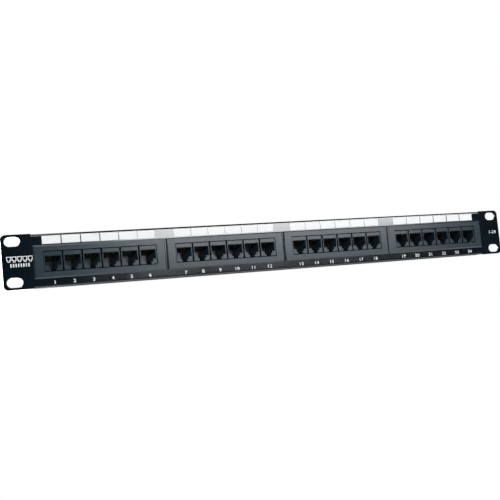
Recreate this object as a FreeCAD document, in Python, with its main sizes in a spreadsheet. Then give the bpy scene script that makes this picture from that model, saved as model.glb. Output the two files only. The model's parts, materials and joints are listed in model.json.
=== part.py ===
"""A 1U, 19-inch patch panel with 24 modular sockets, as a parametric FreeCAD document.

The row frame is in millimetres. +X runs along the panel to its right end as seen from the front, +Z is
up, and the front looks along -Y. The origin is the centre of the four rack slots, on the rear face of the
sheet, which is the face that meets the rack's rails.

A folded steel panel carries four identical modules side by side. Each module is a moulded bezel that snaps
into a cut-out of the panel, six jack housings in its window, a circuit board screwed to its two posts, and
two rows of insulation-displacement blocks behind the board. Each jack has eight spring wires that a plug
pushes up, and they turn about the bend behind the lip of the socket.
"""

import FreeCAD, Part
import os
import re

import Sketcher

MODULES = 4
PORTS = 6
WIRES = 8
BLOCKS = 3

DIMENSIONS = {
    # The folded steel panel.
    "panel_width": 482.6,
    "ear_height": 43.0,
    "ear_corner": 4.2,
    "fold_width": 436.0,
    "fold_height": 42.2,
    "sheet_thick": 1.5,
    "bend_outer": 1.8,
    "bend_inner": 0.3,
    "flange_depth": 10.0,
    "slot_length": 12.2,
    "slot_width": 7.4,
    "slot_span": 465.1,
    "slot_rise": 31.75,
    # The modules: a bezel in front of the sheet and a collar through the cut-out.
    "module_pitch": 109.0,
    "module_level": -1.05,
    "bezel_width": 108.2,
    "bezel_height": 26.4,
    "bezel_rise": 1.6,
    "bezel_bevel": 1.0,
    "window_width": 92.9,
    "window_height": 16.4,
    "window_level": -0.95,
    "collar_width": 102.4,
    "collar_height": 20.6,
    "collar_depth": 6.0,
    "cutout_gap": 0.3,
    "hook_step": 0.15,
    "hook_length": 2.5,
    "hook_reach": 1.0,
    "hook_width": 8.0,
    "hook_offset": 30.0,
    "post_offset": 48.8,
    "post_width": 4.4,
    "post_height": 11.0,
    # The jacks.
    "port_pitch": 15.54,
    "jack_width": 14.3,
    "jack_height": 15.2,
    "jack_face": 2.7,
    "mouth_width": 12.2,
    "mouth_top": 3.1,
    "mouth_floor": -4.5,
    "mouth_flare": 0.4,
    "flare_depth": 0.6,
    "step_width": 7.4,
    "step_floor": -6.4,
    "latch_width": 4.4,
    "mouth_depth": 14.2,
    "lip_thick": 1.2,
    "channel_width": 8.4,
    "channel_top": 4.6,
    # The spring wires and the fixed leads that carry them.
    "wire_pitch": 1.02,
    "wire_width": 0.46,
    "wire_thick": 0.3,
    "lead_top": 4.4,
    "turn_radius": 0.55,
    "turn_setback": 0.95,
    "wire_slope": 17.0,
    "wire_length": 10.0,
    # The circuit boards.
    "board_front": 13.0,
    "board_thick": 1.6,
    "board_width": 104.0,
    "board_height": 34.0,
    "screw_radius": 1.25,
    "screw_length": 7.0,
    "screw_hole": 1.5,
    "head_radius": 2.4,
    "head_height": 1.7,
    "recess_width": 0.7,
    "recess_length": 2.8,
    "recess_depth": 1.0,
    # The insulation-displacement blocks.
    "contact_pitch": 3.81,
    "block_length": 30.3,
    "block_height": 8.4,
    "block_depth": 13.5,
    "row_offset": 11.0,
    "wire_gap": 1.1,
    "gap_depth": 6.0,
    "tooth_point": 1.6,
    "tooth_drop": 2.0,
    "pocket_width": 2.9,
    "pocket_thick": 0.5,
    "pocket_depth": 8.6,
    "contact_width": 2.7,
    "contact_thick": 0.4,
    "contact_length": 4.2,
    "contact_slit": 0.5,
    "slit_depth": 3.2,
    # The labels.
    "label_width": 14.7,
    "label_height": 6.3,
    "label_level": 16.1,
    "label_thick": 0.1,
    "code_width": 88.0,
    "code_height": 11.0,
    "code_thick": 0.15,
}

doc = FreeCAD.newDocument("PatchPanel")
sheet = doc.addObject("Spreadsheet::Sheet", "Spreadsheet")
parts = []


def fill_sheet():
    """Writes each driving dimension to the sheet as a plain number with an alias."""
    for row, (alias, size) in enumerate(DIMENSIONS.items(), start=1):
        sheet.set(f"A{row}", alias)
        sheet.set(f"B{row}", str(size))
        sheet.setAlias(f"B{row}", alias)
    doc.recompute()


def formula(text):
    """A formula in dimension names, as an expression that reads them from the sheet."""

    def cell(match):
        word = match.group(0)
        return f"Spreadsheet.{word}" if word in DIMENSIONS else word

    return re.sub(r"[a-z]+(_[a-z]+)*", cell, str(text))


def number(text):
    """What a formula in dimension names comes to now."""
    return float(sheet.evalExpression(formula(text)))


def bind(thing, name, text):
    """Makes a property or constraint follow a formula."""
    thing.setExpression(name, formula(text))


# Bodies, sketches and features


def new_body(label, x="0"):
    """A body of its own for one sub-part, moved along X to where the sub-part belongs."""
    body = doc.addObject("PartDesign::Body", label)
    body.Label = label
    body.AllowCompound = True
    bind(body, ".Placement.Base.x", x)
    parts.append(body)
    return body


def origin_of(body, role):
    """One of the body's own origin planes or axes."""
    return next(o for o in body.Origin.OriginFeatures if o.Role == role)


def new_sketch(body, role, offset="0"):
    """A sketch on one of the body's origin planes, moved along that plane's normal by the offset."""
    sketch = body.newObject("Sketcher::SketchObject", "Sketch")
    sketch.AttachmentSupport = [(origin_of(body, role), "")]
    sketch.MapMode = "FlatFace"
    bind(sketch, ".AttachmentOffset.Base.z", offset)
    return sketch


def front_sketch(body, y):
    """A sketch that faces the front, at that y. Its own axes are X and Z."""
    return new_sketch(body, "XZ_Plane", f"-({y})")


def hold(sketch, dimensions):
    """Dimensional constraints, each given by its kind, what it measures and the formula it follows."""
    made = [Sketcher.Constraint(kind, *ends, number(text)) for kind, ends, text in dimensions]
    for index, (_, _, text) in zip(sketch.addConstraint(made), dimensions):
        bind(sketch, f"Constraints[{index}]", text)


def outline(sketch, corners):
    """A closed outline through corners (x, y). A corner (x, y, radius, cx, cy, angle) starts an arc.

    The arc turns about (cx, cy), through a point at that angle in degrees, and ends at the next corner.
    """
    points = [FreeCAD.Vector(number(corner[0]), number(corner[1]), 0) for corner in corners]
    pieces = []
    for corner, start, end in zip(corners, points, points[1:] + points[:1]):
        if len(corner) == 2:
            pieces.append(Part.LineSegment(start, end))
            continue
        radius, cx, cy, angle = corner[2:]
        x = number(f"({cx}) + ({radius}) * cos(({angle}) * 1 deg)")
        y = number(f"({cy}) + ({radius}) * sin(({angle}) * 1 deg)")
        pieces.append(Part.Arc(start, FreeCAD.Vector(x, y, 0), end))
    made = sketch.addGeometry(pieces, False)
    starts = [near_end(sketch, piece, point) for piece, point in zip(made, points)]
    sketch.addConstraint(
        [
            Sketcher.Constraint("Coincident", made[i - 1], 3 - starts[i - 1], made[i], starts[i])
            for i in range(len(corners))
        ]
    )
    dimensions = []
    for piece, start, corner in zip(made, starts, corners):
        dimensions.append(("DistanceX", (-1, 1, piece, start), corner[0]))
        dimensions.append(("DistanceY", (-1, 1, piece, start), corner[1]))
        if len(corner) > 2:
            dimensions.append(("DistanceX", (-1, 1, piece, 3), corner[3]))
    hold(sketch, dimensions)


def near_end(sketch, piece, point):
    """Which end of a piece, 1 or 2, is at a point. A clockwise arc is stored the other way round."""
    distance = [sketch.getPoint(piece, end).distanceToPoint(point) for end in (1, 2)]
    return 1 if distance[0] < distance[1] else 2


def rectangle(sketch, x, y, width, height):
    """A rectangle about a centre."""
    left, right = f"({x}) - ({width}) / 2", f"({x}) + ({width}) / 2"
    low, high = f"({y}) - ({height}) / 2", f"({y}) + ({height}) / 2"
    outline(sketch, [(left, low), (right, low), (right, high), (left, high)])


def circle(sketch, x, y, radius):
    """A circle about a centre."""
    centre = FreeCAD.Vector(number(x), number(y), 0)
    made = sketch.addGeometry(Part.Circle(centre, FreeCAD.Vector(0, 0, 1), number(radius)), False)
    at_centre = (-1, 1, made, 3)
    hold(sketch, [("DistanceX", at_centre, x), ("DistanceY", at_centre, y), ("Radius", (made,), radius)])


def oblong(sketch, x, y, length, width):
    """A slot with round ends, along the sketch's first axis."""
    left, right = f"({x}) - ({length} - {width}) / 2", f"({x}) + ({length} - {width}) / 2"
    low, high, radius = f"({y}) - {width} / 2", f"({y}) + {width} / 2", f"{width} / 2"
    right_end = (right, low, radius, right, y, "0")
    left_end = (left, high, radius, left, y, "180")
    outline(sketch, [(left, low), right_end, (right, high), left_end])


def extrude(body, kind, sketch, length, rearward=False, both_ways=False):
    """A Pad or Pocket of a sketch. A front sketch grows or cuts towards the front unless rearward."""
    feature = body.newObject(f"PartDesign::{kind}", kind)
    feature.Profile = sketch
    feature.SideType = "Symmetric" if both_ways else "One side"
    # A pocket cuts against its sketch's normal, where a pad grows along it.
    feature.Reversed = rearward if kind == "Pad" else not rearward
    bind(feature, "Length", length)
    body.Tip = feature
    return feature


def repeat(body, features, count, spacing, outer_count=1, outer_spacing="0"):
    """Features repeated along X, and that row repeated again at a second spacing."""
    pattern = body.newObject("PartDesign::LinearPattern", "LinearPattern")
    pattern.Originals = features
    pattern.Direction = (origin_of(body, "X_Axis"), [""])
    pattern.Occurrences = count
    bind(pattern, "Length", f"({spacing}) * {count - 1}")
    if outer_count > 1:
        pattern.Direction2 = (origin_of(body, "X_Axis"), [""])
        pattern.Occurrences2 = outer_count
        bind(pattern, "Length2", f"({outer_spacing}) * {outer_count - 1}")
    body.Tip = pattern


def round_edges(body, feature, radius, wanted):
    """Fillets those of the feature's edges whose ends pass a test."""
    doc.recompute()
    names = []
    for i, edge in enumerate(feature.Shape.Edges, start=1):
        if len(edge.Vertexes) == 2 and wanted(edge.Vertexes[0].Point, edge.Vertexes[1].Point):
            names.append(f"Edge{i}")
    fillet = body.newObject("PartDesign::Fillet", "Fillet")
    fillet.Base = (feature, names)
    bind(fillet, "Radius", radius)
    body.Tip = fillet
    return fillet


def module_x(index):
    """A module's centre. Modules are numbered from 0 at the left."""
    return f"({index} - {(MODULES - 1) / 2}) * module_pitch"


def first_of(count, spacing):
    """Where the first of an evenly spaced, centred row lies."""
    return f"-{(count - 1) / 2} * ({spacing})"


# The sub-parts


def steel_panel():
    """One folded sheet: a flat face with flat ears, and two flanges turned to the rear between the ears."""
    body = new_body("steel_panel")
    profile = new_sketch(body, "YZ_Plane")
    high, inner = "fold_height / 2", "fold_height / 2 - sheet_thick"
    outline(
        profile,
        [
            ("-sheet_thick", f"-({high})"),
            ("flange_depth", f"-({high})"),
            ("flange_depth", f"-({inner})"),
            ("0", f"-({inner})"),
            ("0", inner),
            ("flange_depth", inner),
            ("flange_depth", high),
            ("-sheet_thick", high),
        ],
    )
    folded = extrude(body, "Pad", profile, "fold_width", both_ways=True)
    front, reach = -number("sheet_thick"), number(inner) - 0.1
    folded = round_edges(
        body, folded, "bend_outer", lambda a, b: abs(a.x - b.x) > 1 and abs(a.y - front) < 0.01
    )
    folded = round_edges(
        body,
        folded,
        "bend_inner",
        lambda a, b: abs(a.x - b.x) > 1 and max(abs(a.y), abs(b.y)) < 0.01 and abs(a.z) > reach,
    )
    ears = front_sketch(body, "0")
    ear_width = "(panel_width - fold_width) / 2"
    for side in ("-1", "1"):
        rectangle(ears, f"{side} * (panel_width + fold_width) / 4", "0", ear_width, "ear_height")
    plate = extrude(body, "Pad", ears, "sheet_thick")
    tip, top = number("panel_width / 2"), number("ear_height / 2")
    round_edges(
        body,
        plate,
        "ear_corner",
        lambda a, b: abs(abs(a.x) - tip) < 0.01 and abs(a.z - b.z) < 0.01 and abs(abs(a.z) - top) < 0.01
        and abs(a.x - b.x) < 0.01,
    )
    slots = front_sketch(body, "1")
    for x in ("-slot_span / 2", "slot_span / 2"):
        for z in ("-slot_rise / 2", "slot_rise / 2"):
            oblong(slots, x, z, "slot_length", "slot_width")
    extrude(body, "Pocket", slots, "sheet_thick + 2")
    opening = front_sketch(body, "1")
    wide, high = "collar_width + 2 * cutout_gap", "collar_height + 2 * cutout_gap"
    rectangle(opening, module_x(0), "module_level", wide, high)
    cut = extrude(body, "Pocket", opening, "sheet_thick + 2")
    repeat(body, [cut], MODULES, "module_pitch")


def bezel(index):
    """A moulded frame: a flat front with bevelled edges, a collar with snap hooks, and posts for the board."""
    body = new_body(f"bezel_{index + 1}", module_x(index))
    base = front_sketch(body, "-sheet_thick")
    rectangle(base, "0", "module_level", "bezel_width", "bezel_height")
    extrude(body, "Pad", base, "bezel_rise - bezel_bevel")
    rings = []
    for rise, margin in (("bezel_rise - bezel_bevel", "0"), ("bezel_rise", "bezel_bevel")):
        ring = front_sketch(body, f"-sheet_thick - ({rise})")
        rectangle(ring, "0", "module_level", f"bezel_width - 2 * {margin}", f"bezel_height - 2 * {margin}")
        rings.append(ring)
    loft = body.newObject("PartDesign::AdditiveLoft", "AdditiveLoft")
    loft.Profile = rings[0]
    loft.Sections = rings[1:]
    loft.Ruled = True
    body.Tip = loft
    collar = front_sketch(body, "-sheet_thick")
    rectangle(collar, "0", "module_level", "collar_width", "collar_height")
    extrude(body, "Pad", collar, "collar_depth", rearward=True)
    posts = front_sketch(body, "-sheet_thick")
    for side in ("-1", "1"):
        rectangle(posts, f"{side} * post_offset", "module_level", "post_width", "post_height")
    extrude(body, "Pad", posts, "board_front + sheet_thick", rearward=True)
    hooks = new_sketch(body, "YZ_Plane", "-hook_offset")
    for side in ("-1", "1"):
        foot = f"module_level + {side} * (collar_height / 2 - 0.2)"
        nose = f"module_level + {side} * (collar_height / 2 + hook_reach)"
        outline(hooks, [("hook_step", foot), ("hook_step", nose), ("hook_step + hook_length", foot)])
    hook = extrude(body, "Pad", hooks, "hook_width", both_ways=True)
    repeat(body, [hook], 2, "2 * hook_offset")
    window = front_sketch(body, "-sheet_thick - bezel_rise - 1")
    rectangle(window, "0", "window_level", "window_width", "window_height")
    extrude(body, "Pocket", window, "bezel_rise + collar_depth + 2", rearward=True)
    pilots = front_sketch(body, "board_front")
    for side in ("-1", "1"):
        circle(pilots, f"{side} * post_offset", "module_level", "screw_radius")
    extrude(body, "Pocket", pilots, "screw_length")


def jack_housings(index):
    """Six socket bodies side by side, each with a stepped mouth and a channel over it for the wires.

    The lowest step is open below, so that a plug's latch can bend down as far as the bezel's window.
    """
    body = new_body(f"jack_housings_{index + 1}", module_x(index))
    x = first_of(PORTS, "port_pitch")
    block = front_sketch(body, "board_front")
    rectangle(block, x, "window_level", "jack_width", "jack_height")
    solid = extrude(body, "Pad", block, "board_front + jack_face")
    mouth = front_sketch(body, "-jack_face")
    half = ("mouth_width / 2", "step_width / 2", "latch_width / 2")
    floors = ("mouth_floor", "step_floor", "window_level - jack_height / 2 - 0.1")
    right = []
    for wide, floor in zip(half, floors):
        last = right[-1][1] if right else "mouth_top"
        right += [(wide, last), (wide, floor)]
    left = [(f"-{wide}", z) for wide, z in reversed(right)]
    outline(mouth, [(f"{x} + {wide}", z) for wide, z in right + left])
    cavity = extrude(body, "Pocket", mouth, "mouth_depth", rearward=True)
    flare = body.newObject("PartDesign::SubtractiveLoft", "SubtractiveLoft")
    frames = []
    for depth, margin in (("0", "mouth_flare"), ("flare_depth", "0")):
        frame = front_sketch(body, f"-jack_face + {depth}")
        middle, high = f"(mouth_top + {margin} + mouth_floor) / 2", f"mouth_top + {margin} - mouth_floor"
        rectangle(frame, x, middle, f"mouth_width + 2 * {margin}", high)
        frames.append(frame)
    flare.Profile = frames[0]
    flare.Sections = frames[1:]
    flare.Ruled = True
    body.Tip = flare
    over = front_sketch(body, "board_front")
    rectangle(over, x, "(channel_top + mouth_top) / 2", "channel_width", "channel_top - mouth_top")
    channel = extrude(body, "Pocket", over, "board_front + jack_face - lip_thick")
    repeat(body, [solid, cavity, flare, channel], PORTS, "port_pitch")


def turn_y():
    """Where the wires' bend, and so the hinge of the spring wires, lies along Y."""
    return "(-jack_face + lip_thick + turn_setback)"


def turn_z():
    """Where the wires' bend lies along Z, below the fixed leads."""
    return "(lead_top - wire_thick / 2 - turn_radius)"


def spring_wires(index, port):
    """The eight free wires of one jack: a bend, and a straight run that slopes down to the rear."""
    count = index * PORTS + port + 1
    body = new_body(f"spring_wires_{count:02d}", f"{module_x(index)} + ({port} - 2.5) * port_pitch")
    sketch = new_sketch(body, "YZ_Plane", first_of(WIRES, "wire_pitch"))
    outer, inner = "(turn_radius + wire_thick / 2)", "(turn_radius - wire_thick / 2)"
    along_y, along_z = "cos(wire_slope * 1 deg)", "sin(wire_slope * 1 deg)"

    def bottom(radius, run):
        """A point on the sloping run, at a distance from the bend's centre line and along the run."""
        y = f"{turn_y()} - {radius} * {along_z} + {run} * {along_y}"
        z = f"{turn_z()} - {radius} * {along_y} - {run} * {along_z}"
        return y, z

    outline(
        sketch,
        [
            (turn_y(), f"{turn_z()} + {outer}", outer, turn_y(), turn_z(), "165"),
            bottom(outer, "0"),
            bottom(outer, "wire_length"),
            bottom(inner, "wire_length"),
            (*bottom(inner, "0"), inner, turn_y(), turn_z(), "165"),
            (turn_y(), f"{turn_z()} + {inner}"),
        ],
    )
    wire = extrude(body, "Pad", sketch, "wire_width", both_ways=True)
    repeat(body, [wire], WIRES, "wire_pitch")


def contact_leads(index):
    """The fixed part of a module's 48 wires, from each bend back along the channel to the board."""
    body = new_body(f"contact_leads_{index + 1}", module_x(index))
    start = f"{first_of(PORTS, 'port_pitch')} {first_of(WIRES, 'wire_pitch')}"
    sketch = new_sketch(body, "YZ_Plane", start)
    low, high = "lead_top - wire_thick", "lead_top"
    outline(sketch, [(turn_y(), low), ("board_front", low), ("board_front", high), (turn_y(), high)])
    lead = extrude(body, "Pad", sketch, "wire_width", both_ways=True)
    repeat(body, [lead], WIRES, "wire_pitch", PORTS, "port_pitch")


def circuit_board(index):
    """The board between the jacks and the wiring blocks, with a hole at each end for its screw."""
    body = new_body(f"circuit_board_{index + 1}", module_x(index))
    board = front_sketch(body, "board_front")
    rectangle(board, "0", "module_level", "board_width", "board_height")
    extrude(body, "Pad", board, "board_thick", rearward=True)
    holes = front_sketch(body, "board_front - 1")
    for side in ("-1", "1"):
        circle(holes, f"{side} * post_offset", "module_level", "screw_hole")
    extrude(body, "Pocket", holes, "board_thick + 2", rearward=True)


def wiring_blocks(index, name, side):
    """A row of four-pair blocks: teeth that part the wires, and a pocket in each gap for a contact."""
    body = new_body(f"wiring_blocks_{name}_{index + 1}", module_x(index))
    level = f"module_level + {side} * row_offset"
    centre = first_of(BLOCKS, f"{WIRES} * contact_pitch")
    back, tip = "board_front + board_thick", "board_front + board_thick + block_depth"
    gaps = [f"{centre} + ({i} - 3.5) * contact_pitch" for i in range(WIRES)]
    left, right = f"{centre} - block_length / 2", f"{centre} + block_length / 2"
    edges = [left]
    for gap in gaps:
        edges += [f"{gap} - wire_gap / 2", f"{gap} + wire_gap / 2"]
    edges.append(right)
    corners = [(right, back), (left, back)]
    for tooth in range(WIRES + 1):
        start, end = edges[2 * tooth], edges[2 * tooth + 1]
        peak = tip if tooth % 2 == 0 else f"{tip} - tooth_drop"
        shoulder = f"{peak} - tooth_point"
        if tooth > 0:
            corners.append((start, f"{tip} - gap_depth"))
        corners += [(start, shoulder), (f"({start} + {end}) / 2", peak), (end, shoulder)]
        if tooth < WIRES:
            corners.append((end, f"{tip} - gap_depth"))
    comb = new_sketch(body, "XY_Plane", level)
    outline(comb, corners)
    block = extrude(body, "Pad", comb, "block_height", both_ways=True)
    pockets = front_sketch(body, tip)
    for gap in gaps:
        rectangle(pockets, gap, level, "pocket_width", "pocket_thick")
    pocket = extrude(body, "Pocket", pockets, "pocket_depth")
    repeat(body, [block, pocket], BLOCKS, f"{WIRES} * contact_pitch")


def wiring_contacts(index):
    """A module's 48 slit plates, 24 in the upper row of blocks and 24 in the lower."""
    body = new_body(f"wiring_contacts_{index + 1}", module_x(index))
    count = BLOCKS * WIRES
    x = first_of(count, "contact_pitch")
    foot = "board_front + board_thick + block_depth - pocket_depth"
    top = f"{foot} + contact_length"
    rows = []
    for side in ("1", "-1"):
        plate = new_sketch(body, "XY_Plane", f"module_level + {side} * row_offset")
        left, right = f"{x} - contact_width / 2", f"{x} + contact_width / 2"
        slit_left, slit_right = f"{x} - contact_slit / 2", f"{x} + contact_slit / 2"
        slit_foot = f"{top} - slit_depth"
        outline(
            plate,
            [
                (left, foot),
                (right, foot),
                (right, top),
                (slit_right, top),
                (slit_right, slit_foot),
                (slit_left, slit_foot),
                (slit_left, top),
                (left, top),
            ],
        )
        rows.append(extrude(body, "Pad", plate, "contact_thick", both_ways=True))
    repeat(body, rows, count, "contact_pitch")


def wiring_code(index):
    """The sticker between a module's two rows of blocks, which gives the order of the wires."""
    body = new_body(f"wiring_code_{index + 1}", module_x(index))
    sticker = front_sketch(body, "board_front + board_thick")
    rectangle(sticker, "0", "module_level", "code_width", "code_height")
    extrude(body, "Pad", sticker, "code_thick", rearward=True)


def board_screws():
    """Eight pan-head screws with a cross recess, two to a board."""
    body = new_body("board_screws")
    x = f"{module_x(0)} - post_offset"
    seat = "board_front + board_thick"
    shank = front_sketch(body, seat)
    circle(shank, x, "module_level", "screw_radius")
    thread = extrude(body, "Pad", shank, "board_thick + screw_length - 0.5")
    cap = front_sketch(body, seat)
    circle(cap, x, "module_level", "head_radius")
    head = extrude(body, "Pad", cap, "head_height", rearward=True)
    recess = front_sketch(body, f"{seat} + head_height")
    wide, reach = "recess_width / 2", "recess_length / 2"
    quarter = [(reach, f"-{wide}"), (reach, wide), (wide, wide), (wide, reach)]
    other = [(f"-{wide}", reach), (f"-{wide}", wide), (f"-{reach}", wide), (f"-{reach}", f"-{wide}")]
    last = [(f"-{wide}", f"-{wide}"), (f"-{wide}", f"-{reach}"), (wide, f"-{reach}"), (wide, f"-{wide}")]
    outline(recess, [(f"{x} + {a}", f"module_level + {b}") for a, b in quarter + other + last])
    cross = extrude(body, "Pocket", recess, "recess_depth")
    repeat(body, [thread, head, cross], 2, "2 * post_offset", MODULES, "module_pitch")


def port_labels():
    """Twenty-four write-on labels on the sheet above the sockets."""
    body = new_body("port_labels")
    sketch = front_sketch(body, "-sheet_thick")
    x = f"{module_x(0)} {first_of(PORTS, 'port_pitch')}"
    rectangle(sketch, x, "label_level", "label_width", "label_height")
    label = extrude(body, "Pad", sketch, "label_thick")
    repeat(body, [label], PORTS, "port_pitch", MODULES, "module_pitch")


def check_document():
    """Stops if an object failed, or a sub-part is not a sound solid or group of solids."""
    for thing in doc.Objects:
        if {"Invalid", "Error"} & set(thing.State):
            raise RuntimeError(f"{thing.Label} ({thing.TypeId}) failed: {thing.State}")
    for body in parts:
        if body.Shape.isNull() or not body.Shape.isValid() or not body.Shape.Solids:
            raise RuntimeError(f"{body.Label} is not a sound solid")


def write_parts():
    """Writes each sub-part to a STEP file that has its name."""
    os.makedirs("parts", exist_ok=True)
    for body in parts:
        body.Shape.exportStep(f"parts/{body.Label}.step")
        volume = sum(solid.Volume for solid in body.Shape.Solids)
        print(f"{body.Label}: {len(body.Shape.Solids)} solids, {volume:.1f} mm3")


fill_sheet()
steel_panel()
for module in range(MODULES):
    bezel(module)
    jack_housings(module)
    for socket in range(PORTS):
        spring_wires(module, socket)
    contact_leads(module)
    circuit_board(module)
    wiring_blocks(module, "upper", "1")
    wiring_blocks(module, "lower", "-1")
    wiring_contacts(module)
    wiring_code(module)
board_screws()
port_labels()
doc.recompute()
check_document()
write_parts()
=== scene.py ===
import json
import math

import bmesh
import bpy
from mathutils import Euler, Matrix, Vector


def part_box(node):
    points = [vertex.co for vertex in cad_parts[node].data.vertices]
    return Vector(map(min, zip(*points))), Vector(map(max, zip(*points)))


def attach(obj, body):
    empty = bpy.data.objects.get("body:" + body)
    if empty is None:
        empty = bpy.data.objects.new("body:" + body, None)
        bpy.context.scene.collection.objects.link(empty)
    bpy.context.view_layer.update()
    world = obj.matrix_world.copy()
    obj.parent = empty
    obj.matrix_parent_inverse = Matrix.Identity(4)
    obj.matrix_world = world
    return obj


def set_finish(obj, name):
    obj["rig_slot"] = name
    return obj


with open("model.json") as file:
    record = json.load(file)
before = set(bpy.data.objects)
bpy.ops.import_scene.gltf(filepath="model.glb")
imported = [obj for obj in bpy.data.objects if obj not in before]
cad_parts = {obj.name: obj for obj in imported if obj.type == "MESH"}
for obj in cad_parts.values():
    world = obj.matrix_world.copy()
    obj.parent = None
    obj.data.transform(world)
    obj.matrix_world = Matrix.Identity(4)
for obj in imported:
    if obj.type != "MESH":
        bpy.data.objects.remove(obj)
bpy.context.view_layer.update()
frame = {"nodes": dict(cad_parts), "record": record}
nodes = frame["nodes"]
MM = 0.001
MODULES = 4
PORTS = 6
CONTACT_PITCH = 3.81 * MM
SCREW_OFFSET = 48.8 * MM
SHEET_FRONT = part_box("steel_panel")[0].y
INK_LIFT = 0.02 * MM
NUMBER_LEVEL = -17.6 * MM
LEFT_SIGN, RIGHT_SIGN = -235.9 * MM, 233 * MM


# Places that the CAD model sets


def centre(node):
    low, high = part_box(node)
    return (low + high) / 2


def port_x(number):
    """The middle of a socket, numbered from 1 at the left: the middle of its spring wires."""
    return centre(f"spring_wires_{number:02d}").x


# Materials


def shader(name, colour, roughness, metallic=0.0, **sockets):
    """A material with a Principled shader, and values on the shader's own sockets."""
    made = bpy.data.materials.new(name)
    made.use_nodes = True
    main = made.node_tree.nodes["Principled BSDF"]
    main.inputs["Base Color"].default_value = (*colour, 1)
    main.inputs["Roughness"].default_value = roughness
    main.inputs["Metallic"].default_value = metallic
    for socket, value in sockets.items():
        main.inputs[socket.replace("_", " ")].default_value = value
    return made


def add(material, kind, **settings):
    """A node with its settings. A setting that names a socket sets the socket's value."""
    node = material.node_tree.nodes.new(kind)
    for name, value in settings.items():
        socket = name.replace("_", " ")
        if socket in node.inputs:
            node.inputs[socket].default_value = value
        else:
            setattr(node, name, value)
    return node


def link(material, source, output, target, socket):
    material.node_tree.links.new(source.outputs[output], target.inputs[socket])


def noise(material, scale, detail=2.0, stretch=(1, 1, 1)):
    """Noise in the object's own coordinates, so that its grain has a real size. Scale is cells per metre."""
    place = add(material, "ShaderNodeTexCoord")
    size = add(material, "ShaderNodeMapping", Scale=stretch)
    grain = add(material, "ShaderNodeTexNoise", Scale=scale, Detail=detail)
    link(material, place, "Object", size, "Vector")
    link(material, size, "Vector", grain, "Vector")
    return grain


def spread(material, source, output, low, high, start=0.3, end=0.7):
    """A value from low to high as the source goes from start to end."""
    node = add(material, "ShaderNodeMapRange")
    values = {"From Min": start, "From Max": end, "To Min": low, "To Max": high}
    for socket, value in values.items():
        node.inputs[socket].default_value = value
    link(material, source, output, node, "Value")
    return node


def blotches(material, source, first, second, start=0.35, end=0.65):
    """A base colour that goes from the first to the second with the source."""
    ramp = add(material, "ShaderNodeValToRGB")
    ramp.color_ramp.elements[0].position = start
    ramp.color_ramp.elements[0].color = (*first, 1)
    ramp.color_ramp.elements[1].position = end
    ramp.color_ramp.elements[1].color = (*second, 1)
    link(material, source, "Fac", ramp, "Fac")
    link(material, ramp, "Color", material.node_tree.nodes["Principled BSDF"], "Base Color")
    return ramp


def relief(material, *layers):
    """Bumps laid one over another. Each is a height source, its output, a depth in metres and a strength."""
    below = None
    for source, output, depth, strength in layers:
        bump = add(material, "ShaderNodeBump", Distance=depth, Strength=strength)
        link(material, source, output, bump, "Height")
        if below:
            link(material, below, "Normal", bump, "Normal")
        below = bump
    link(material, below, "Normal", material.node_tree.nodes["Principled BSDF"], "Normal")


def rough(material, source, output, low, high, start=0.3, end=0.7):
    """Roughness that varies with a source."""
    value = spread(material, source, output, low, high, start, end)
    link(material, value, "Result", material.node_tree.nodes["Principled BSDF"], "Roughness")


def powder_coat():
    """Black powder coat: a fine orange peel and a slow change of gloss, thin and dull behind the face."""
    made = shader("black_powder_coat", (0.0008, 0.005, 0.0085), 0.11, IOR=1.8)
    peel = noise(made, 900, 3)
    speck = noise(made, 5200, 1)
    slow = noise(made, 22, 4)
    blotches(made, slow, (0.0006, 0.0045, 0.0075), (0.0012, 0.006, 0.0105))
    gloss = spread(made, slow, "Fac", 0.10, 0.13)
    place = add(made, "ShaderNodeTexCoord")
    parts = add(made, "ShaderNodeSeparateXYZ")
    link(made, place, "Object", parts, "Vector")
    behind = spread(made, parts, "Y", 0, 0.45, 0.4 * MM, 1.4 * MM)
    total = add(made, "ShaderNodeMath", operation="ADD")
    link(made, gloss, "Result", total, 0)
    link(made, behind, "Result", total, 1)
    link(made, total, "Value", made.node_tree.nodes["Principled BSDF"], "Roughness")
    relief(made, (peel, "Fac", 0.000006, 0.2), (speck, "Fac", 0.000002, 0.12))
    return made


def moulded(name, dark, light, low, high, grain=3200, depth=0.000004):
    """Moulded plastic: a spark-eroded grain, flow marks along the moulding, and wear in the gloss."""
    made = shader(name, dark, low, Specular_IOR_Level=0.42)
    fine = noise(made, grain, 2)
    flow = noise(made, 60, 5, (0.25, 1, 1))
    wear = noise(made, 260, 4)
    blotches(made, flow, dark, light)
    rough(made, wear, "Fac", low, high)
    relief(made, (flow, "Fac", 0.00003, 0.08), (fine, "Fac", depth, 0.4))
    return made


def plated(name, bright, dull, low, high):
    """Plated metal: drawn along its length, with a little tarnish."""
    made = shader(name, bright, low, 1.0)
    drawn = noise(made, 1500, 3, (1, 0.08, 0.08))
    tarnish = noise(made, 300, 4)
    blotches(made, tarnish, bright, dull)
    rough(made, drawn, "Fac", low, high)
    relief(made, (drawn, "Fac", 0.000008, 0.3))
    return made


def write_on_film():
    """White write-on film: nearly smooth, with a faint tooth and a faint change of tone."""
    made = shader("white_label", (0.88, 0.88, 0.875), 0.5)
    tooth = noise(made, 4200, 2)
    slow = noise(made, 40, 3)
    blotches(made, slow, (0.87, 0.87, 0.865), (0.90, 0.90, 0.895))
    rough(made, tooth, "Fac", 0.45, 0.6)
    relief(made, (tooth, "Fac", 0.00001, 0.25))
    return made


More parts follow.
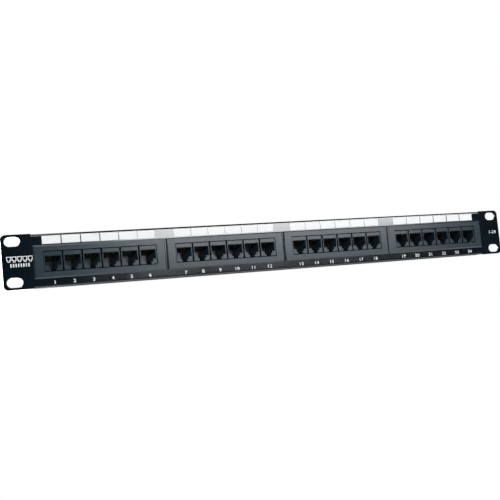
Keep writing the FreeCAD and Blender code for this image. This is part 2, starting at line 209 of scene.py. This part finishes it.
def solder_mask():
    """Green solder mask over a copper layer: the copper's tracks stand out a little and show paler."""
    made = shader("circuit_board", (0.01, 0.06, 0.035), 0.3)
    place = add(made, "ShaderNodeTexCoord")
    turn = add(made, "ShaderNodeMapping", Rotation=(0, math.radians(45), 0))
    tracks = add(made, "ShaderNodeTexWave", Scale=190, Distortion=14, Detail=1, Detail_Scale=0.35)
    tracks.bands_direction = "X"
    link(made, place, "Object", turn, "Vector")
    link(made, turn, "Vector", tracks, "Vector")
    edge = spread(made, tracks, "Fac", 0, 1, 0.52, 0.58)
    mix = add(made, "ShaderNodeMix", data_type="RGBA")
    mix.inputs["A"].default_value = (0.006, 0.040, 0.024, 1)
    mix.inputs["B"].default_value = (0.012, 0.075, 0.042, 1)
    link(made, edge, "Result", mix, "Factor")
    main = made.node_tree.nodes["Principled BSDF"]
    made.node_tree.links.new(mix.outputs["Result"], main.inputs["Base Color"])
    slow = noise(made, 90, 3)
    rough(made, slow, "Fac", 0.22, 0.36)
    relief(made, (edge, "Result", 0.00004, 0.5), (slow, "Fac", 0.00004, 0.1))
    return made


def printed_ink(name, full, thin):
    """Screen ink: opaque, a little thin in places."""
    made = shader(name, full, 0.55)
    cover = noise(made, 1800, 3)
    blotches(made, cover, thin, full, 0.3, 0.5)
    rough(made, cover, "Fac", 0.5, 0.65)
    return made


COAT = powder_coat()
BEZEL = moulded("bezel_plastic", (0.017, 0.031, 0.040), (0.023, 0.038, 0.050), 0.2, 0.27)
JACK = moulded("jack_plastic", (0.013, 0.025, 0.032), (0.018, 0.032, 0.040), 0.2, 0.26, 4200, 0.000003)
BLOCK = moulded("block_plastic", (0.015, 0.016, 0.018), (0.022, 0.023, 0.025), 0.3, 0.42, 4200, 0.000006)
GOLD = plated("gold_contact", (0.66, 0.56, 0.36), (0.50, 0.43, 0.29), 0.22, 0.38)
TIN = plated("tinned_contact", (0.74, 0.74, 0.72), (0.6, 0.6, 0.58), 0.3, 0.45)
ZINC = plated("zinc_steel", (0.68, 0.68, 0.70), (0.52, 0.52, 0.53), 0.25, 0.42)
FILM = write_on_film()
BOARD = solder_mask()
SOLDER = plated("solder", (0.62, 0.62, 0.61), (0.5, 0.5, 0.49), 0.22, 0.4)
INK = printed_ink("white_ink", (0.88, 0.88, 0.88), (0.76, 0.77, 0.78))
BLACK_INK = printed_ink("black_ink", (0.02, 0.02, 0.022), (0.04, 0.04, 0.043))
PAIRS = {
    "blue": printed_ink("blue_ink", (0.02, 0.10, 0.50), (0.05, 0.15, 0.55)),
    "orange": printed_ink("orange_ink", (0.80, 0.20, 0.02), (0.84, 0.27, 0.06)),
    "green": printed_ink("green_ink", (0.02, 0.28, 0.06), (0.06, 0.34, 0.10)),
    "brown": printed_ink("brown_ink", (0.16, 0.06, 0.02), (0.22, 0.10, 0.05)),
}

FINISH = {
    "black_powder_coat": COAT,
    "bezel_plastic": BEZEL,
    "jack_plastic": JACK,
    "block_plastic": BLOCK,
    "gold_contact": GOLD,
    "tinned_contact": TIN,
    "zinc_steel": ZINC,
    "white_label": FILM,
    "circuit_board": BOARD,
}


def dress(thing, material):
    """Gives an object one material."""
    thing.data.materials.clear()
    thing.data.materials.append(material)


def soften(thing, width, segments=2, angle=35):
    """Small radii on the sharp edges, as moulding, folding and coating leave them."""
    weld = thing.modifiers.new("weld", "WELD")
    weld.merge_threshold = 0.000002
    bevel = thing.modifiers.new("edge", "BEVEL")
    bevel.width = width
    bevel.segments = segments
    bevel.limit_method = "ANGLE"
    bevel.angle_limit = math.radians(angle)
    bevel.harden_normals = True


for part in frame["record"]["subparts"]:
    dress(nodes[part["node"]], FINISH[part["material_slot"]])
    nodes[part["node"]]["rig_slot"] = part["material_slot"]
soften(nodes["steel_panel"], 0.00012)
for module in range(1, MODULES + 1):
    soften(nodes[f"bezel_{module}"], 0.0002, 3, 30)
    soften(nodes[f"jack_housings_{module}"], 0.00016)
    soften(nodes[f"circuit_board_{module}"], 0.0001)
    for row in ("upper", "lower"):
        soften(nodes[f"wiring_blocks_{row}_{module}"], 0.0001)
soften(nodes["board_screws"], 0.00015)


# Pieces of the look that the CAD model doesn't have


def piece(name, data, material, slot, body="panel"):
    """A new object that rides on a body."""
    made = bpy.data.objects.new(name, data)
    bpy.context.scene.collection.objects.link(made)
    dress(made, material)
    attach(made, body)
    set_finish(made, slot)
    return made


def lettering(text, size, wide=1.0):
    """The flat mesh of a short text, centred on its own origin, in its XY plane, and stretched along X."""
    curve = bpy.data.curves.new(text, "FONT")
    curve.body = text
    curve.size = size
    curve.align_x = "CENTER"
    curve.align_y = "CENTER"
    curve.offset = size * 0.012
    curve.space_character = 1.1
    holder = bpy.data.objects.new(text, curve)
    mesh = bpy.data.meshes.new_from_object(holder)
    bpy.data.objects.remove(holder)
    bpy.data.curves.remove(curve)
    mesh.transform(Matrix.Diagonal((wide, 1, 1, 1)))
    return mesh


def to_front(x, z):
    """Turns the XY plane to face the front, at a place on the panel."""
    return Matrix.Translation((x, SHEET_FRONT - INK_LIFT, z)) @ Matrix.Rotation(math.pi / 2, 4, "X")


def to_back(x, z, y):
    """Turns the XY plane to face the rear, at a place on the back."""
    turn = Matrix.Rotation(math.pi, 4, "Z") @ Matrix.Rotation(math.pi / 2, 4, "X")
    return Matrix.Translation((x, y, z)) @ turn


def rectangles(corners):
    """A flat mesh of rectangles in the XY plane, each given by its low and high corner in millimetres."""
    mesh = bpy.data.meshes.new("rectangles")
    points, faces = [], []
    for x0, y0, x1, y1 in corners:
        start = len(points)
        points += [(x * MM, y * MM, 0) for x, y in ((x0, y0), (x1, y0), (x1, y1), (x0, y1))]
        faces.append(range(start, start + 4))
    mesh.from_pydata(points, [], [tuple(face) for face in faces])
    return mesh


def stroke(points, width):
    """Rectangles along a closed path of level and upright steps. Each covers the corner where it starts."""
    half, made = width / 2, []
    for (x0, y0), (x1, y1) in zip(points, points[1:] + points[:1]):
        along_x, along_y = (x1 > x0) - (x1 < x0), (y1 > y0) - (y1 < y0)
        xs = sorted((x0 - half * along_x, x1 - half * along_x))
        ys = sorted((y0 - half * along_y, y1 - half * along_y))
        wide, high = half * abs(along_y), half * abs(along_x)
        made.append((xs[0] - wide, ys[0] - high, xs[1] + wide, ys[1] + high))
    return made


def printed(name, prints, ink):
    """One piece from many flat meshes, each with the matrix that puts it in place."""
    made = bmesh.new()
    for mesh, place in prints:
        mesh.transform(place)
        made.from_mesh(mesh)
        bpy.data.meshes.remove(mesh)
    mesh = bpy.data.meshes.new(name)
    made.to_mesh(mesh)
    made.free()
    return piece(name, mesh, ink, "white_label")


def front_prints():
    """The numbers under the sockets, and signs on the ears: sockets, eight contacts, the socket count."""
    numbers = [
        (lettering(str(number), 3.8 * MM, 1.2), to_front(port_x(number) + 0.4 * MM, NUMBER_LEVEL))
        for number in range(1, MODULES * PORTS + 1)
    ]
    printed("port_numbers", numbers, INK)
    right = [(1.5, 4.2), (1.5, 1.5), (0.7, 1.5), (0.7, 0.3)]
    socket = [(-1.5, 4.2)] + right + [(-0.7, 0.3), (-0.7, 1.5), (-1.5, 1.5)]
    signs = [(rectangles(stroke(socket, 0.55)), to_front(LEFT_SIGN + 4.1 * i * MM, 0)) for i in range(5)]
    bars = [(1.95 * i, 0, 1.95 * i + 0.95, 2.7) for i in range(8)]
    signs.append((rectangles(bars), to_front(LEFT_SIGN + 0.9 * MM, -3.9 * MM)))
    signs.append((lettering("1-24", 4.6 * MM), to_front(RIGHT_SIGN, 0)))
    printed("ear_signs", signs, INK)


def back_prints():
    """The wiring code: each contact's pair colour, thin for the white wire, and each block's socket."""
    bars = {name: [] for name in PAIRS}
    numbers, lines = [], []
    for module in range(1, MODULES + 1):
        sticker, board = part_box(f"wiring_code_{module}"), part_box(f"circuit_board_{module}")
        face = sticker[1].y + INK_LIFT
        middle = (sticker[0] + sticker[1]) / 2
        for row, side in (("upper", 1), ("lower", -1)):
            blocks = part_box(f"wiring_blocks_{row}_{module}")
            for block in range(3):
                x = middle.x + (block - 1) * 8 * CONTACT_PITCH
                number = (module - 1) * PORTS + 2 * block + (1 if side > 0 else 2)
                place = to_back(x, middle.z + side * 1.5 * MM, face)
                numbers.append((lettering(str(number), 2.6 * MM), place))
                for contact in range(8):
                    half = 1.25 if contact % 2 else 0.4
                    shift = x + (contact - 3.5) * CONTACT_PITCH
                    bar = rectangles([(-half, -0.75, half, 0.75)])
                    place = to_back(shift, middle.z + side * 4.2 * MM, face)
                    bars[list(PAIRS)[contact // 2]].append((bar, place))
            span = (blocks[1] - blocks[0]) / 2 / MM
            wide, high = span.x + 0.6, span.z + 0.5
            frame_line = [(-wide, -high), (wide, -high), (wide, high), (-wide, high)]
            place = to_back(middle.x, (blocks[0].z + blocks[1].z) / 2, board[1].y + INK_LIFT)
            lines.append((rectangles(stroke(frame_line, 0.22)), place))
    for name, ink in PAIRS.items():
        printed(f"code_{name}", bars[name], ink)
    printed("code_numbers", numbers, BLACK_INK)
    printed("board_legend", lines, INK)


def turned(name, places, profile, segments, material, slot):
    """Many small turned shapes in one mesh. The profile is of (radius, height) in millimetres, along +Y."""
    points, faces = [], []
    for place in places:
        start = len(points)
        for radius, height in profile:
            for step in range(segments):
                turn = 2 * math.pi * step / segments
                spot = Vector((radius * math.cos(turn), height, radius * math.sin(turn)))
                points.append(Vector(place) + spot * MM)
        for ring in range(len(profile) - 1):
            for step in range(segments):
                near, far = start + ring * segments, start + (ring + 1) * segments
                follow = (step + 1) % segments
                faces.append((near + step, far + step, far + follow, near + follow))
        faces.append([start + (len(profile) - 1) * segments + step for step in reversed(range(segments))])
    mesh = bpy.data.meshes.new(name)
    mesh.from_pydata(points, [], faces)
    mesh.shade_smooth()
    return piece(name, mesh, material, slot)


def board_details():
    """Solder joints of the socket leads behind the boards, and a tinned pad round each board screw."""
    joints, pads = [], []
    for module in range(1, MODULES + 1):
        sticker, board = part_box(f"wiring_code_{module}"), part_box(f"circuit_board_{module}")
        for port in range(PORTS):
            x = port_x((module - 1) * PORTS + port + 1)
            for lead in range(8):
                over = lead % 2 == 0
                level = sticker[1].z + 0.65 * MM if over else sticker[0].z - 0.65 * MM
                joints.append((x + (lead - 3.5) * 1.15 * MM, board[1].y, level))
    for screw in screw_places():
        pads.append((screw.x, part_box("circuit_board_1")[1].y, screw.z))
    cone = [(0.52, 0), (0.46, 0.12), (0.26, 0.34), (0.17, 0.55), (0.08, 0.62)]
    turned("solder_joints", joints, cone, 10, SOLDER, "tinned_contact")
    turned("screw_pads", pads, [(3.3, 0), (3.25, 0.04), (2.5, 0.05)], 32, SOLDER, "tinned_contact")


def screw_places():
    """Where the board screws are: at the ends of each board, at its middle height."""
    for module in range(1, MODULES + 1):
        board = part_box(f"circuit_board_{module}")
        middle = (board[0] + board[1]) / 2
        for side in (-1, 1):
            yield Vector((middle.x + side * SCREW_OFFSET, 0, middle.z))


front_prints()
back_prints()
board_details()


# Camera, light and floor

LOOK_FROM = (-0.334524, -0.666317, -0.054305)
LOOK_TURN = (94.09606, 5.55132, -24.02934)


def set_camera():
    """The view: from the left of the middle and a little below."""
    data = bpy.data.cameras.new("camera")
    data.sensor_width = 36
    data.lens = 60.827
    data.clip_start = 0.02
    data.clip_end = 20
    made = bpy.data.objects.new("camera", data)
    made.location = LOOK_FROM
    made.rotation_euler = Euler([math.radians(angle) for angle in LOOK_TURN])
    bpy.context.scene.collection.objects.link(made)
    bpy.context.scene.camera = made


def softbox(name, place, target, width, height, radiance, tint=(1, 1, 1)):
    """A rectangular light that faces a target. Its power follows from its size and how bright it looks."""
    data = bpy.data.lights.new(name, "AREA")
    data.shape = "RECTANGLE"
    data.size = width
    data.size_y = height
    data.energy = radiance * math.pi * width * height
    data.color = tint
    made = bpy.data.objects.new(name, data)
    made.location = place
    made.rotation_euler = (Vector(target) - Vector(place)).to_track_quat("-Z", "Y").to_euler()
    bpy.context.scene.collection.objects.link(made)
    return made


def set_world():
    """White behind the object for the camera, and a dim surround for the light on it."""
    world = bpy.data.worlds.new("surround")
    world.use_nodes = True
    tree = world.node_tree
    seen = tree.nodes["Background"]
    seen.inputs["Color"].default_value = (1, 1, 1, 1)
    seen.inputs["Strength"].default_value = 1.0
    dim = tree.nodes.new("ShaderNodeBackground")
    dim.inputs["Color"].default_value = (0.9, 0.95, 1, 1)
    dim.inputs["Strength"].default_value = 0.015
    show_to_camera(tree, seen.outputs["Background"], dim.outputs["Background"], tree.nodes["World Output"])
    bpy.context.scene.world = world


def show_to_camera(tree, seen, unseen, output):
    """One shader where the camera looks straight at a backdrop, and another for the light it gives."""
    ray = tree.nodes.new("ShaderNodeLightPath")
    mix = tree.nodes.new("ShaderNodeMixShader")
    tree.links.new(ray.outputs["Is Camera Ray"], mix.inputs["Fac"])
    tree.links.new(unseen, mix.inputs[1])
    tree.links.new(seen, mix.inputs[2])
    tree.links.new(mix.outputs["Shader"], output.inputs["Surface"])


def set_floor():
    """A plain pale floor, well below the panel."""
    mesh = bpy.data.meshes.new("floor")
    reach, level = 12.0, -0.6
    corners = [(-reach, -reach), (reach, -reach), (reach, reach), (-reach, reach)]
    mesh.from_pydata([(x, y, level) for x, y in corners], [], [(0, 1, 2, 3)])
    made = bpy.data.objects.new("floor", mesh)
    bpy.context.scene.collection.objects.link(made)
    floor = shader("pale_floor", (0.5, 0.5, 0.5), 0.9)
    glow = add(floor, "ShaderNodeEmission", Strength=1.0)
    tree = floor.node_tree
    pale = tree.nodes["Principled BSDF"].outputs["BSDF"]
    show_to_camera(tree, glow.outputs["Emission"], pale, tree.nodes["Material Output"])
    dress(made, floor)


# The key gives the gloss on the face, and the fill lights the left end without one. The top and low strips
# are where the bezels' bevels mirror. The rear lamps stay level, so that they don't catch the top fold.

set_camera()
set_world()
set_floor()
softbox("key", (0.53, -1.1, 0.405), (0, 0, 0), 0.75, 0.615, 9.4, (0.96, 0.985, 1.0))
softbox("fill", (-0.85, -0.9, 0.25), (-0.15, 0, 0), 0.5, 0.6, 6.2)
softbox("top", (-0.1, 0.1, 1.3), (-0.1, 0.1, 0), 0.9, 0.35, 3)
softbox("low", (0.25, -0.06, -0.5), (0.25, -0.06, 0), 1.2, 0.15, 1.6)
softbox("rear", (-0.5, 1.2, 0.02), (0, 0, 0), 1.3, 0.32, 14)
softbox("rear_fill", (-1.2, 0.7, 0.0), (0.1, 0, 0), 0.6, 0.32, 8)
bpy.context.scene.view_settings.view_transform = "Standard"
